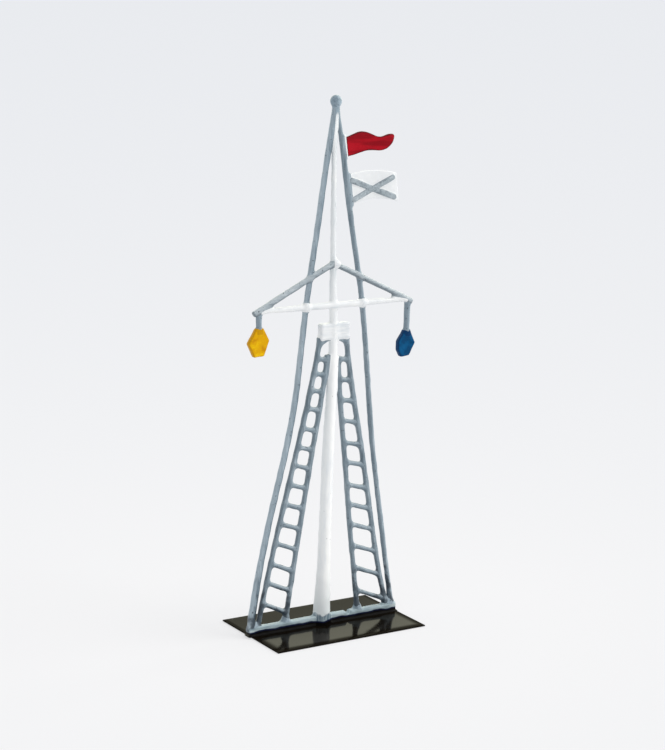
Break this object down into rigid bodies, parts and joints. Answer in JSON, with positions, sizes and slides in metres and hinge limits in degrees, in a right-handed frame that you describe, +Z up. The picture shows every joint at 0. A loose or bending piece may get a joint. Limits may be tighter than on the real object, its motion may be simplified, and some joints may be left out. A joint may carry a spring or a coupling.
{
  "type": "model signal mast",
  "caption": "Painted metal model railway signal mast: round mast on a tinplate base between two ladders and two stays, with a braced yard, hanging shapes, a pennant and a flag.",
  "frame": {"origin": "centre of the base plate's underside", "axes": "+Z up along the mast, +X along the foot bar, -Y the painted front; right-handed"},
  "size_m": [0.0335, 0.02, 0.0932],
  "materials": {
    "grey_enamel": "hand-brushed blue-grey enamel, satin",
    "white_enamel": "hand-brushed white enamel, satin",
    "black_lacquer": "glossy brown-black lacquer on tinplate",
    "yellow_enamel": "gloss yellow enamel",
    "blue_enamel": "gloss blue enamel",
    "red_enamel": "satin red enamel"
  },
  "bodies": {
    "root": {"base_plate": "black_lacquer", "foot_bar": "grey_enamel", "lower_mast": "white_enamel", "platform_box": "white_enamel", "topmast": "white_enamel", "truck_ball": "grey_enamel", "yard": "white_enamel", "left_brace": "grey_enamel", "right_brace": "grey_enamel", "left_hanger": "grey_enamel", "right_hanger": "grey_enamel", "yellow_signal_shape": "yellow_enamel", "blue_signal_shape": "blue_enamel", "left_stay": "grey_enamel", "right_stay": "grey_enamel", "left_ladder_outer_stile": "grey_enamel", "left_ladder_inner_stile": "grey_enamel", "left_ladder_rungs": "grey_enamel", "left_ladder_head": "grey_enamel", "right_ladder_inner_stile": "grey_enamel", "right_ladder_outer_stile": "grey_enamel", "right_ladder_rungs": "grey_enamel", "right_ladder_head": "grey_enamel", "red_pennant": "red_enamel", "pennant_halyard": "white_enamel", "white_flag": "white_enamel", "flag_halyard": "grey_enamel", "saltire_rising_arm": "grey_enamel", "saltire_falling_arm": "grey_enamel", "foot_solder": "grey_enamel", "brace_solder": "white_enamel", "yard_solder": "white_enamel", "left_yard_web": "grey_enamel", "right_yard_web": "grey_enamel"}
  },
  "joints": []
}
